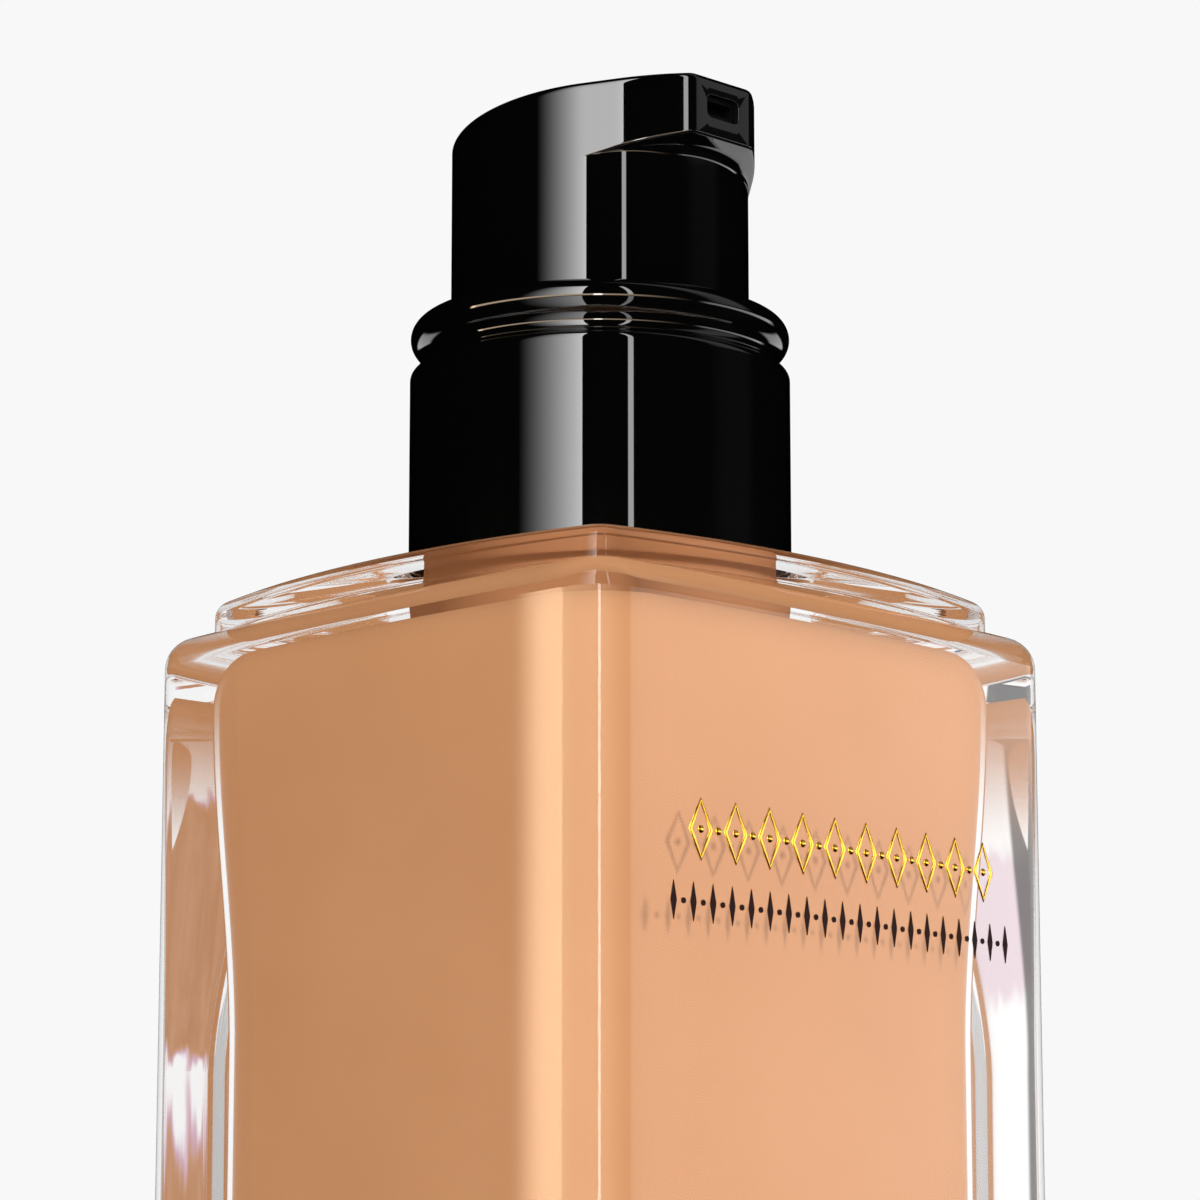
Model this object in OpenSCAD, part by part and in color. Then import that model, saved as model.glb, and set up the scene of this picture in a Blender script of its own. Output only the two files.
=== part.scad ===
// Square glass foundation bottle with a snap-on metering pump, its button pressed down to dose.
// Origin at the centre of the base, +Z up, label face and nozzle towards -Y.

/* [Glass bottle] */
// Width across the middle of two opposite sides
body_w = 38.5; // [38:0.1:39]
// Radius of each convex side, seen from above
body_side_r = 200; // [150:10:400]
// Radius of the upright corners
body_corner_r = 3; // [2.6:0.1:3.6]
// Height of the flat ledge around the raised pad
ledge_z = 67; // [66.6:0.1:67.4]
// Rounding between the sides and the ledge
shoulder_r = 1.8; // [1.2:0.1:2.2]
// Rounding of the foot
foot_r = 1.4; // [0.8:0.1:2]
// Width across the middle of two opposite sides of the raised pad
pad_w = 36.6; // [36:0.1:37]
// Radius of the pad's convex sides
pad_side_r = 55; // [50:1:70]
// Height of the pad above the ledge
pad_h = 2.2; // [1.8:0.1:2.6]
// Rounding of the pad's top edge
pad_edge_r = 1; // [0.6:0.1:1.2]

/* [Cavity] */
// Glass under the cavity
base_t = 12; // [10:0.5:13]
// Width of the cavity over most of its height
cavity_w = 29.4; // [28.6:0.1:30]
// Width of the cavity at its shoulder
cavity_top_w = 31.9; // [31:0.1:32.4]
// Radius of the cavity's convex sides
cavity_side_r = 150; // [100:10:300]
// Radius of the cavity's upright corners
cavity_corner_r = 4.2; // [3.8:0.1:5]
// Glass between the cavity's roof and the top of the pad
roof_t = 3.4; // [3:0.1:4]

/* [Neck and collar] */
// Bore of the neck
neck_bore_r = 5.3; // [5.2:0.05:5.6]
// Height of the lip above the pad
neck_h = 7; // [6.9:0.05:7.1]
// Radius of the collar's wall
collar_r = 11.1; // [11.05:0.05:11.3]
// Radius of the groove under the collar's bead
groove_r = 10.43; // [10.35:0.01:10.5]
// Largest radius of the bead
bead_r = 11.07; // [10.95:0.01:11.1]

/* [Button] */
// Radius of the button's barrel
button_r = 8.73; // [8.65:0.01:8.78]
// Height of the button's top above the pad, on the pump's axis
button_top = 28.1; // [28:0.05:28.5]
// Slope of the button's top, rising towards the nozzle
button_slope = 7.2; // [6.6:0.1:7.6]
// Angle from the nozzle's direction at which the head leaves the barrel
spout_turn = 52; // [51.6:0.2:52.4]
// Length of the head's straight sides, before they curve in
spout_flat = 2; // [1.8:0.1:2.2]
// Radius of the curved part of the head's sides
spout_side_r = 15; // [14.5:0.5:15.5]
// Travel of the button
stroke = 3.5; // [2.5:0.1:3.5]

/* [Pump] */
// Radius of the pump chamber
chamber_r = 4; // [3.9:0.01:4.05]
// Outer radius of the chamber wall
housing_r = 4.8; // [4.7:0.05:4.95]
// Outer radius of the dip tube
tube_r = 1.55; // [1.5:0.01:1.57]
// Radius of the inlet ball
ball_r = 1.2; // [1.1:0.05:1.25]
// Wire thickness of the return spring
wire_d = 0.6; // [0.5:0.05:0.7]
// Turns of the return spring
spring_turns = 6; // [5:1:7]

/* [Print] */
// Height of the gold line above the base
foil_z = 52.7; // [46:0.1:55]
// Height of the ink line above the base
ink_z = 48.8; // [42:0.1:49]
// Thickness of the printed layers
print_t = 0.08; // [0.05:0.01:0.12]

/* [Hidden] */
$fn = 96;
cut = 0.01;          // how far a cutting solid runs past the face that it opens
gap = 0.05;          // moulding gap between pieces that touch
running_gap = 0.03;  // radial clearance between pieces that slide or turn
pad_z = ledge_z + pad_h;

// Rounded square outlines: four side arcs joined by four corner arcs
SIDE_STEPS = 6;
CORNER_STEPS = 6;
EDGE_STEPS = 4;

// Distance from the axis, along X and along Y, to the centre of a corner arc
function corner_centre(w, side_r, corner_r) =
    let (back = side_r - w / 2)
    (sqrt(2 * pow(side_r - corner_r, 2) - back * back) - back) / 2;

// One quarter of the outline: the side towards +X, then the corner after it
function quarter(w, side_r, corner_r) =
    let (
        back = side_r - w / 2,
        k = corner_centre(w, side_r, corner_r),
        half = atan2(k, k + back)
    )
    concat(
        [for (i = [0 : SIDE_STEPS])
            let (a = -half + 2 * half * i / SIDE_STEPS)
            [side_r * cos(a) - back, side_r * sin(a)]],
        [for (i = [1 : CORNER_STEPS - 1])
            let (a = half + (90 - 2 * half) * i / CORNER_STEPS)
            [k + corner_r * cos(a), k + corner_r * sin(a)]]
    );

// The whole outline at one height; a level is [z, width, side radius, corner radius]
function ring(level) = [
    for (q = [0 : 3])
        for (p = quarter(level[1], level[2], level[3]))
            [p[0] * cos(90 * q) - p[1] * sin(90 * q), p[0] * sin(90 * q) + p[1] * cos(90 * q), level[0]]
];

// A level drawn in by d on every side, at height z
function inset(z, level, d) = [z, level[1] - 2 * d, level[2] - d, level[3] - d];

// Levels of a rounding of radius r that closes upwards to top
function upper_edge(top, level, r) = [
    for (i = [0 : EDGE_STEPS])
        let (a = 90 * i / EDGE_STEPS)
        inset(top - r + r * sin(a), level, r - r * cos(a))
];

// Levels of a rounding of radius r that opens upwards from bottom
function lower_edge(bottom, level, r) = [
    for (i = [0 : EDGE_STEPS])
        let (a = 90 * i / EDGE_STEPS)
        inset(bottom + r - r * cos(a), level, r - r * sin(a))
];

module loft(levels) {
    n = len(ring(levels[0]));
    last = len(levels) - 1;
    points = [for (level = levels) each ring(level)];
    sides = [
        for (j = [0 : last - 1])
            for (i = [0 : n - 1])
                let (a = j * n + i, b = j * n + (i + 1) % n)
                each [[a, a + n, b], [b, a + n, b + n]]
    ];
    floor_face = [[for (i = [0 : n - 1]) i]];
    roof_face = [[for (i = [n - 1 : -1 : 0]) last * n + i]];
    polyhedron(points = points, faces = concat(floor_face, sides, roof_face));
}

// Round solid from an outline of [radius, height] points
module turned(outline) {
    rotate_extrude() polygon(outline);
}

// Points of an arc, from angle a0 to angle a1
function arc(cx, cy, r, a0, a1, steps) = [
    for (i = [0 : steps])
        let (a = a0 + (a1 - a0) * i / steps)
        [cx + r * cos(a), cy + r * sin(a)]
];

// ---- Glass ----
body_level = [0, body_w, body_side_r, body_corner_r];
pad_corner_r = 2;
pad_level = [0, pad_w, pad_side_r, pad_corner_r];
pad_root_r = 0.3;    // small hollow rounding where the pad rises from the ledge
punt_r = 12.5;
punt_h = 0.6;
cavity_top_z = pad_z - roof_t;
cavity_foot_r = 3.6;
cavity_roof_r = 3;
flare_low_z = pad_z - 26;    // the cavity starts to widen here
flare_high_z = cavity_top_z - cavity_roof_r;
FLARE_STEPS = 6;
neck_z = pad_z + neck_h;
neck_r = 7.2;
neck_bead_r = 7.9;

cavity_level = [0, cavity_w, cavity_side_r, cavity_corner_r];
cavity_top_level = [0, cavity_top_w, cavity_side_r, cavity_corner_r];

function cavity_levels() = concat(
    lower_edge(base_t, cavity_level, cavity_foot_r),
    [for (i = [0 : FLARE_STEPS - 1])
        let (t = i / FLARE_STEPS, ease = t * t * (3 - 2 * t))
        [flare_low_z + (flare_high_z - flare_low_z) * t,
            cavity_w + (cavity_top_w - cavity_w) * ease, cavity_side_r, cavity_corner_r]],
    upper_edge(cavity_top_z, cavity_top_level, cavity_roof_r)
);

function bottle_levels() = concat(
    lower_edge(0, body_level, foot_r),
    upper_edge(ledge_z, body_level, shoulder_r),
    [inset(ledge_z, pad_level, -pad_root_r)],
    [inset(ledge_z + pad_root_r, pad_level, 0)],
    upper_edge(pad_z, pad_level, pad_edge_r)
);

// Neck with the bead that the ferrule snaps over
neck_outline = [
    [0, pad_z - 1],
    [neck_r, pad_z - 1],
    [neck_r, pad_z + 4.2],
    [neck_bead_r, pad_z + 4.8],
    [neck_bead_r, pad_z + 5.8],
    [neck_r + 0.3, neck_z - 0.3],
    [neck_r, neck_z],
    [0, neck_z]
];

module glass_bottle() {
    color([0.86, 0.93, 0.93, 0.35])
    difference() {
        union() {
            loft(bottle_levels());
            turned(neck_outline);
        }
        loft(cavity_levels());
        translate([0, 0, cavity_top_z - 1]) cylinder(h = neck_z - cavity_top_z + 2, r = neck_bore_r);
        translate([0, 0, -cut]) cylinder(h = punt_h + cut, r = punt_r);
    }
}

module base_label() {
    label_t = 0.12;
    color("white")
    translate([0, 0, punt_h - label_t]) cylinder(h = label_t, r = punt_r - 0.8);
}

// ---- Pump heights ----
gasket_t = 0.8;
flange_t = 0.9;
flange_r = 7.6;
web_t = 0.85;
gasket_z = neck_z;
flange_z = gasket_z + gasket_t;
housing_top = flange_z + flange_t;
web_z = housing_top + gap;
ferrule_top = web_z + web_t;
guide_low = housing_top - 3.5;
lost_motion = 0.6;   // play of the piston on the stem, which opens the ports
piston_top = guide_low - lost_motion - 0.1;
piston_h = 2.6;
piston_z = piston_top - piston_h;
stem_flange_t = 0.75;
stem_flange_top = piston_z - gap;
stem_flange_z = stem_flange_top - stem_flange_t;
seat_top = housing_top - 17.8;
seat_t = 1;
seat_z = seat_top - seat_t;
ball_lift = 0.5;
cone_apex_z = seat_z - gap - ball_lift - ball_r - ball_r * sqrt(2);
ball_z = cone_apex_z + ball_r * sqrt(2) + 0.01;
chamber_floor_r = 1.6;
socket_r = tube_r + gap;
socket_top = cone_apex_z;
socket_h = 6.4;
upper_stem_r = 2.5;
lower_stem_r = 1.85;
stem_top = pad_z + 19;
button_z = ferrule_top + stroke + 0.5;

module neck_gasket() {
    color("ivory")
    translate([0, 0, gasket_z])
    difference() {
        cylinder(h = gasket_t, r = neck_r);
        translate([0, 0, -cut]) cylinder(h = gasket_t + 2 * cut, r = neck_bore_r);
    }
}

// Clip ring: a web that holds the pump down and a skirt whose hook catches under the glass bead
ferrule_r = 9.95;
hook_r = neck_r + 0.2;
module snap_ferrule() {
    color("white")
    turned([
        [hook_r, pad_z + 2.9],
        [hook_r + 0.8, pad_z + 1.2],
        [ferrule_r, pad_z + 0.6],
        [ferrule_r, ferrule_top],
        [housing_r + 0.3, ferrule_top],
        [housing_r + 0.3, web_z],
        [neck_bead_r + 0.15, web_z],
        [neck_bead_r + 0.15, pad_z + 4.1],
        [hook_r, pad_z + 4.1]
    ]);
}

// ---- Collar: arcs of the wall's rounding, the groove and the bead, tangent to each other ----
wall_round_r = 0.55;
groove_round_r = 0.75;
bead_round_r = 1.1;
groove_z = pad_z + 14.15;
bead_cx = bead_r - bead_round_r;
groove_cx = groove_r + groove_round_r;
wall_round_cx = collar_r - wall_round_r;
wall_round_z = groove_z - sqrt(pow(groove_round_r + wall_round_r, 2) - pow(groove_cx - wall_round_cx, 2));
bead_cz = groove_z + sqrt(pow(groove_round_r + bead_round_r, 2) - pow(groove_cx - bead_cx, 2));
low_turn = atan2(groove_z - wall_round_z, groove_cx - wall_round_cx);
high_turn = atan2(bead_cz - groove_z, groove_cx - bead_cx);
collar_low = pad_z + 0.15;
collar_top = bead_cz + bead_round_r;
mouth_r = button_r + 0.18;
mouth_round_r = 0.3;

module collar_shroud() {
    seat_step_z = ferrule_top + gap;
    barrel_bore_r = 9.4;
    rim_t = 1.5;
    color([0.04, 0.04, 0.04])
    turned(concat(
        [[ferrule_r + gap, collar_low], [collar_r - 0.15, collar_low], [collar_r, collar_low + 0.15]],
        arc(wall_round_cx, wall_round_z, wall_round_r, 0, low_turn, 6),
        arc(groove_cx, groove_z, groove_round_r, 180 + low_turn, 180 - high_turn, 10),
        arc(bead_cx, bead_cz, bead_round_r, -high_turn, 90, 14),
        arc(mouth_r + mouth_round_r, collar_top - mouth_round_r, mouth_round_r, 90, 180, 4),
        [[mouth_r, collar_top - rim_t], [barrel_bore_r, collar_top - rim_t],
            [barrel_bore_r, seat_step_z], [ferrule_r + gap, seat_step_z]]
    ));
}

// ---- Pump engine ----
spout_tube_wall = 0.95;
module pump_housing() {
    neck_low = cone_apex_z + 0.5;
    color("white")
    difference() {
        turned([
            [0, socket_top - socket_h],
            [socket_r + spout_tube_wall, socket_top - socket_h],
            [socket_r + spout_tube_wall, neck_low],
            [housing_r - 0.6, seat_z - 1.6],
            [housing_r, seat_z - 1],
            [housing_r, flange_z],
            [flange_r, flange_z],
            [flange_r, housing_top],
            [0, housing_top]
        ]);
        // chamber for the piston and the spring
        translate([0, 0, seat_z]) cylinder(h = housing_top - seat_z + cut, r = chamber_r);
        // ball chamber, its cone seat, the inlet and the dip tube's socket
        translate([0, 0, cone_apex_z + chamber_floor_r])
            cylinder(h = seat_z - cone_apex_z - chamber_floor_r + cut, r = chamber_floor_r);
        translate([0, 0, cone_apex_z + 0.7])
            cylinder(h = chamber_floor_r - 0.7, r1 = 0.7, r2 = chamber_floor_r);
        translate([0, 0, socket_top - cut]) cylinder(h = 0.7 + 2 * cut, r = 0.7);
        translate([0, 0, socket_top - socket_h - cut]) cylinder(h = socket_h + cut, r = socket_r);
    }
}

module stem_guide() {
    color("white")
    difference() {
        union() {
            translate([0, 0, guide_low]) cylinder(h = housing_top - guide_low, r = chamber_r - gap);
            translate([0, 0, housing_top]) cylinder(h = web_t, r = housing_r - 0.2);
        }
        translate([0, 0, guide_low - cut])
            cylinder(h = housing_top - guide_low + web_t + 2 * cut, r = upper_stem_r + running_gap);
    }
}

module spring_seat() {
    vents = 3;
    color("white")
    translate([0, 0, seat_z])
    difference() {
        cylinder(h = seat_t, r = chamber_r - gap);
        translate([0, 0, -cut]) cylinder(h = seat_t + 2 * cut, r = 0.75);
        for (i = [0 : vents - 1])
            rotate([0, 0, i * 360 / vents]) translate([1.45, 0, -cut])
                cylinder(h = seat_t + 2 * cut, r = 0.4);
    }
}

module inlet_ball() {
    color("silver")
    translate([0, 0, ball_z]) sphere(r = ball_r, $fn = 48);
}

tube_low = base_t + 1;
tube_bore_r = 1.1;
module dip_tube() {
    tube_top = socket_top - 0.4;
    color([0.9, 0.9, 0.88])
    translate([0, 0, tube_low])
    difference() {
        cylinder(h = tube_top - tube_low, r = tube_r);
        translate([0, 0, -cut]) cylinder(h = tube_top - tube_low + 2 * cut, r = tube_bore_r);
    }
}

// Helix of round wire between two flat end turns
SPRING_RING_STEPS = 16;
SPRING_SIDES = 8;
module return_spring() {
    coil_r = 2.9;
    low = seat_top + wire_d / 2 + gap;
    high = stem_flange_z - wire_d / 2 - gap;
    rings = spring_turns * SPRING_RING_STEPS;
    pitch_turns = spring_turns - 2;
    // share of the height reached after some turns: none in the first, all before the last
    function climb(turn) = min(max(turn - 1, 0), pitch_turns) / pitch_turns;
    end_lift = wire_d * 1.05;
    function wire_z(turn) =
        low + end_lift * min(turn, 1) + (high - low - 2 * end_lift) * climb(turn)
        + end_lift * max(turn - spring_turns + 1, 0);
    points = [
        for (j = [0 : rings])
            for (i = [0 : SPRING_SIDES - 1])
                let (
                    turn = j / SPRING_RING_STEPS,
                    around = 360 * turn,
                    a = 360 * i / SPRING_SIDES,
                    r = coil_r + wire_d / 2 * cos(a)
                )
                [r * cos(around), r * sin(around), wire_z(turn) + wire_d / 2 * sin(a)]
    ];
    sides = [
        for (j = [0 : rings - 1])
            for (i = [0 : SPRING_SIDES - 1])
                let (a = j * SPRING_SIDES + i, b = j * SPRING_SIDES + (i + 1) % SPRING_SIDES)
                each [[a, b, a + SPRING_SIDES], [b, b + SPRING_SIDES, a + SPRING_SIDES]]
    ];
    first_end = [[for (i = [SPRING_SIDES - 1 : -1 : 0]) i]];
    last_end = [[for (i = [0 : SPRING_SIDES - 1]) rings * SPRING_SIDES + i]];
    color("silver") polyhedron(points = points, faces = concat(first_end, sides, last_end));
}

stem_bore_r = 1.1;
module lower_stem() {
    port_z = stem_flange_top + 0.4;
    port_r = 0.3;
    top = stem_top - 9;
    color("white")
    difference() {
        union() {
            translate([0, 0, stem_flange_z]) cylinder(h = stem_flange_t, r = 3.2);
            translate([0, 0, stem_flange_z]) cylinder(h = top - stem_flange_z, r = lower_stem_r);
        }
        translate([0, 0, stem_flange_top]) cylinder(h = top - stem_flange_top + cut, r = stem_bore_r);
        translate([0, 0, port_z]) rotate([90, 0, 0])
            cylinder(h = 2 * lower_stem_r + 1, r = port_r, center = true);
        translate([0, 0, port_z]) rotate([0, 90, 0])
            cylinder(h = 2 * lower_stem_r + 1, r = port_r, center = true);
    }
}

module upper_stem() {
    low = piston_top + lost_motion + gap;
    lower_top = stem_top - 9;
    color("white")
    difference() {
        translate([0, 0, low]) cylinder(h = stem_top - low, r = upper_stem_r);
        translate([0, 0, low - cut]) cylinder(h = lower_top + gap - low + cut, r = lower_stem_r + 0.02);
        translate([0, 0, low]) cylinder(h = stem_top - low + cut, r = stem_bore_r);
    }
}

// Soft piston: two wiping lips on a narrower waist
module piston_seal() {
    lip_r = chamber_r - running_gap;
    waist_r = 3.4;
    bore_r = lower_stem_r + running_gap;
    color("gainsboro")
    turned([
        [bore_r, piston_z],
        [lip_r - 0.2, piston_z],
        [lip_r, piston_z + 0.2],
        [lip_r, piston_z + 0.5],
        [waist_r, piston_z + 0.9],
        [waist_r, piston_top - 0.9],
        [lip_r, piston_top - 0.5],
        [lip_r, piston_top - 0.2],
        [lip_r - 0.2, piston_top],
        [bore_r, piston_top]
    ]);
}

// ---- Button ----
top_z = pad_z + button_top;
barrel_cavity_r = 7.5;
ceiling_t = 0.7;
under_slope = 17.3;
spout_under_z = pad_z + 24.25;     // where the spout's underside leaves the barrel
nozzle_w = 2.6;
nozzle_h = 1.35;
nozzle_round_r = 0.35;
nozzle_z = pad_z + 27.55;
nozzle_t = 1;
nozzle_rim = 0.3;
channel_r = 0.5;
arm_r = 0.85;

// Side of the spout, on the +X side with the nozzle towards -Y: a straight part, an arc and the
// rounded corner of the nozzle's face
side_end = 36.2;         // direction that the arc faces where the corner starts
spout_corner_r = 1.1;
flat_end = button_r * [sin(spout_turn), -cos(spout_turn)] - spout_flat * [cos(spout_turn), sin(spout_turn)];
side_centre = flat_end - spout_side_r * [sin(spout_turn), -cos(spout_turn)];
face_corner = side_centre + (spout_side_r - spout_corner_r) * [sin(side_end), -cos(side_end)];
spout_reach = spout_corner_r - face_corner[1];    // from the pump's axis to the nozzle's face
function spout_side() = concat(
    arc(side_centre[0], side_centre[1], spout_side_r, spout_turn - 90, side_end - 90, 12),
    arc(face_corner[0], face_corner[1], spout_corner_r, side_end - 90, -90, 6)
);

// Everything below a plane that rises by slope towards -Y and crosses the axis at z
module below_slope(z, slope, reach = 40) {
    translate([0, 0, z]) rotate([-slope, 0, 0]) translate([-reach / 2, -reach / 2, -reach]) cube(reach);
}

module spout_block() {
    root = button_r * 0.9 * [sin(spout_turn), -cos(spout_turn)];    // inside the barrel's wall
    leave = button_r * [sin(spout_turn), -cos(spout_turn)];
    half = concat([root, leave], spout_side());
    outline = concat(half, [for (i = [len(half) - 1 : -1 : 0]) [-half[i][0], half[i][1]]]);
    difference() {
        translate([0, 0, spout_under_z]) linear_extrude(height = 8) polygon(outline);
        below_slope(spout_under_z + leave[1] * tan(under_slope), under_slope);
    }
}

// Solid along the spout's channel, from the axis to the nozzle
channel_z = nozzle_z - (spout_reach - nozzle_t) * tan(button_slope);
module along_spout(r, from, to) {
    translate([0, 0, channel_z]) rotate([90 - button_slope, 0, 0])
        translate([0, 0, from]) cylinder(h = to - from, r = r);
}

module slot_outline(w, h, r) {
    union() {
        square([w - 2 * r, h], center = true);
        square([w, h - 2 * r], center = true);
        for (x = [-1, 1])
            for (y = [-1, 1])
                translate([x * (w / 2 - r), y * (h / 2 - r)]) circle(r = r, $fn = 32);
    }
}

// Upright slot solid, cut into the spout's face
module nozzle_slot(w, h, r, depth) {
    translate([0, -spout_reach + depth, nozzle_z]) rotate([90, 0, 0])
        linear_extrude(height = depth + cut) slot_outline(w, h, r);
}

module actuator_shell() {
    color([0.04, 0.04, 0.04])
    difference() {
        intersection() {
            union() {
                translate([0, 0, button_z]) cylinder(h = 20, r = button_r);
                spout_block();
            }
            below_slope(top_z, button_slope);
        }
        intersection() {
            translate([0, 0, button_z - cut]) cylinder(h = 20, r = barrel_cavity_r);
            below_slope(top_z - ceiling_t, button_slope);
        }
        along_spout(arm_r + gap, 5, spout_reach - nozzle_t - 0.2);
        nozzle_slot(nozzle_w, nozzle_h, nozzle_round_r, nozzle_t + 1);
    }
}

module nozzle_insert() {
    color([0.06, 0.06, 0.06])
    translate([0, -spout_reach + 0.35 + nozzle_t, nozzle_z]) rotate([90, 0, 0])
    linear_extrude(height = nozzle_t)
    difference() {
        slot_outline(nozzle_w - 0.04, nozzle_h - 0.04, nozzle_round_r - 0.02);
        slot_outline(nozzle_w - 2 * nozzle_rim, nozzle_h - 2 * nozzle_rim, 0.15);
    }
}

module actuator_core() {
    socket_wall = 1.2;
    disc_z = pad_z + 20.8;
    disc_t = 1.2;
    core_top = channel_z + 0.1;
    color([0.06, 0.06, 0.06])
    difference() {
        union() {
            translate([0, 0, button_z + 1])
                cylinder(h = core_top - button_z - 1, r = upper_stem_r + socket_wall);
            translate([0, 0, disc_z]) cylinder(h = disc_t, r = barrel_cavity_r - gap);
            along_spout(arm_r, 0, spout_reach - nozzle_t - 0.6);
        }
        translate([0, 0, button_z + 1 - cut])
            cylinder(h = stem_top + gap - button_z - 1 + cut, r = upper_stem_r + running_gap);
        translate([0, 0, stem_top]) cylinder(h = channel_z - 0.1 - stem_top, r = stem_bore_r);
        along_spout(channel_r, 0, spout_reach);
    }
}

// ---- Product and print ----
fill_gap = 0.08;
fill_top_z = pad_z + 6;    // the product stands in the neck, round the pump housing
module foundation_fill() {
    levels = [
        for (level = cavity_levels())
            let (
                share = (level[0] - base_t) / (cavity_top_z - base_t),
                z = level[0] + fill_gap * (1 - 2 * share)
            )
            inset(z, level, fill_gap)
    ];
    color([0.87, 0.66, 0.5])
    difference() {
        union() {
            loft(levels);
            translate([0, 0, cavity_top_z - 1])
                cylinder(h = fill_top_z - cavity_top_z + 1, r = neck_bore_r - fill_gap);
        }
        translate([0, 0, socket_top - socket_h - fill_gap])
            cylinder(h = fill_top_z - socket_top + socket_h + 1, r = housing_r + fill_gap);
        translate([0, 0, tube_low - fill_gap]) cylinder(h = pad_z - tube_low, r = tube_r + fill_gap);
    }
}

// A thin skin on the label face, under whatever its children draw on the XZ plane
module printed() {
    centre_y = body_side_r - body_w / 2;
    intersection() {
        translate([0, 0, ink_z - 5]) linear_extrude(height = foil_z - ink_z + 10)
        difference() {
            translate([0, centre_y]) circle(r = body_side_r + print_t, $fn = 1440);
            translate([0, centre_y]) circle(r = body_side_r, $fn = 1440);
        }
        translate([0, -body_w / 2 + 2, 0]) rotate([90, 0, 0]) linear_extrude(height = 4) children();
    }
}

module lozenge(w, h) {
    polygon([[-w / 2, 0], [0, -h / 2], [w / 2, 0], [0, h / 2]]);
}

foil_h = 3.4;
foil_pitch = 2.54;
foil_count = 10;
foil_stroke = 0.3;
module front_foil_print() {
    loop_w = 1.7;
    dot_r = 0.22;
    shrink = foil_stroke / (loop_w / foil_h / 2 + 0.4);
    color("gold")
    printed()
    for (i = [0 : foil_count - 1])
        translate([(i - (foil_count - 1) / 2) * foil_pitch, foil_z]) {
            difference() {
                lozenge(loop_w, foil_h);
                lozenge(loop_w - shrink, foil_h - shrink * foil_h / loop_w);
            }
            circle(r = dot_r, $fn = 24);
            if (i < foil_count - 1) translate([foil_pitch / 2, 0]) circle(r = dot_r, $fn = 24);
        }
}

ink_h = 2.1;
ink_pitch = 1.41;
ink_count = 20;
module front_ink_print() {
    bar_w = 0.42;
    dot_r = 0.16;
    color([0.14, 0.06, 0.06])
    printed()
    for (i = [0 : ink_count - 1])
        translate([(i - (ink_count - 1) / 2) * ink_pitch, ink_z]) {
            lozenge(bar_w, ink_h);
            if (i < ink_count - 1) translate([ink_pitch / 2, 0]) circle(r = dot_r, $fn = 24);
        }
}

glass_bottle();
foundation_fill();
front_foil_print();
front_ink_print();
base_label();
neck_gasket();
snap_ferrule();
collar_shroud();
pump_housing();
stem_guide();
spring_seat();
inlet_ball();
dip_tube();
return_spring();
lower_stem();
upper_stem();
piston_seal();
actuator_core();
actuator_shell();
nozzle_insert();
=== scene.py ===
import math

import bmesh
import bpy
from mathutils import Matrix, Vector


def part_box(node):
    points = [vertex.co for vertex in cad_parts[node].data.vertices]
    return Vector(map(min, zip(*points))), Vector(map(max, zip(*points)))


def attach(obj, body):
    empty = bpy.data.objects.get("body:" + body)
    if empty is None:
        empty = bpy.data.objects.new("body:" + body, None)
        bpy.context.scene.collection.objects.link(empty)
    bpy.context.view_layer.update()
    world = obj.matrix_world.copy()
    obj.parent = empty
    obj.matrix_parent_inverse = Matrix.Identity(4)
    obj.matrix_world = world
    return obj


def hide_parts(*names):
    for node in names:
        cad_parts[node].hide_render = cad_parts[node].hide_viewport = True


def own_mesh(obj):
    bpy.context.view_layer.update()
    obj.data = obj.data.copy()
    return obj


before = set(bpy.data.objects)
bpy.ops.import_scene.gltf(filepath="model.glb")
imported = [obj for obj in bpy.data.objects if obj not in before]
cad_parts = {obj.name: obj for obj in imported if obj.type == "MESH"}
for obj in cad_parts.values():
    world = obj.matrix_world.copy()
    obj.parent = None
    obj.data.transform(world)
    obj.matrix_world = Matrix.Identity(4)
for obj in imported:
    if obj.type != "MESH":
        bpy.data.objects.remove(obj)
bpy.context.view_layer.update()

MM = 0.001
scene = bpy.context.scene


# ---- Camera ----
# A long lens close to the bottle and level with its lower half, tipped up at the pump, with one
# upright corner of the glass towards it and the printed side on the right.
COLLAR_GAP = 0.15 * MM    # air between the collar and the glass pad
pad_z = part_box("collar_shroud")[0].z - COLLAR_GAP
CAMERA_AWAY = 266.4 * MM
CAMERA_BELOW_PAD = 53.7 * MM
CAMERA_PITCH = math.radians(11.43)
SENSOR_W = 36    # millimetres, as Blender counts lenses
LENS = 140.8
towards_camera = Vector((-1, -1, 0)).normalized()
to_the_right = Vector((1, -1, 0)).normalized()

camera_data = bpy.data.cameras.new("camera")
camera_data.sensor_width = SENSOR_W
camera_data.lens = LENS
camera_data.clip_start = 0.01
camera_data.clip_end = 10
camera = bpy.data.objects.new("camera", camera_data)
scene.collection.objects.link(camera)
camera.location = towards_camera * CAMERA_AWAY + Vector((0, 0, pad_z - CAMERA_BELOW_PAD))
camera_aim = -towards_camera * math.cos(CAMERA_PITCH) + Vector((0, 0, math.sin(CAMERA_PITCH)))
camera.rotation_euler = camera_aim.to_track_quat("-Z", "Y").to_euler()
scene.camera = camera
scene.view_settings.view_transform = "Standard"
scene.cycles.max_bounces = 24
scene.cycles.glossy_bounces = 20
scene.cycles.transmission_bounces = 20


# ---- Studio ----
# A pale room that shows itself in three ways: a plain backdrop to the eye, a bright field through the
# clear glass, and a dark tent to whatever mirrors it. High lights in the tent are for the black pump,
# low ones for the glass, its print and the product behind it.
def linear(hex_colour):
    """An sRGB hex colour as linear red, green, blue and 1."""
    channels = [int(hex_colour[i : i + 2], 16) / 255 for i in (1, 3, 5)]
    return [c / 12.92 if c <= 0.04045 else ((c + 0.055) / 1.055) ** 2.4 for c in channels] + [1]


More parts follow.
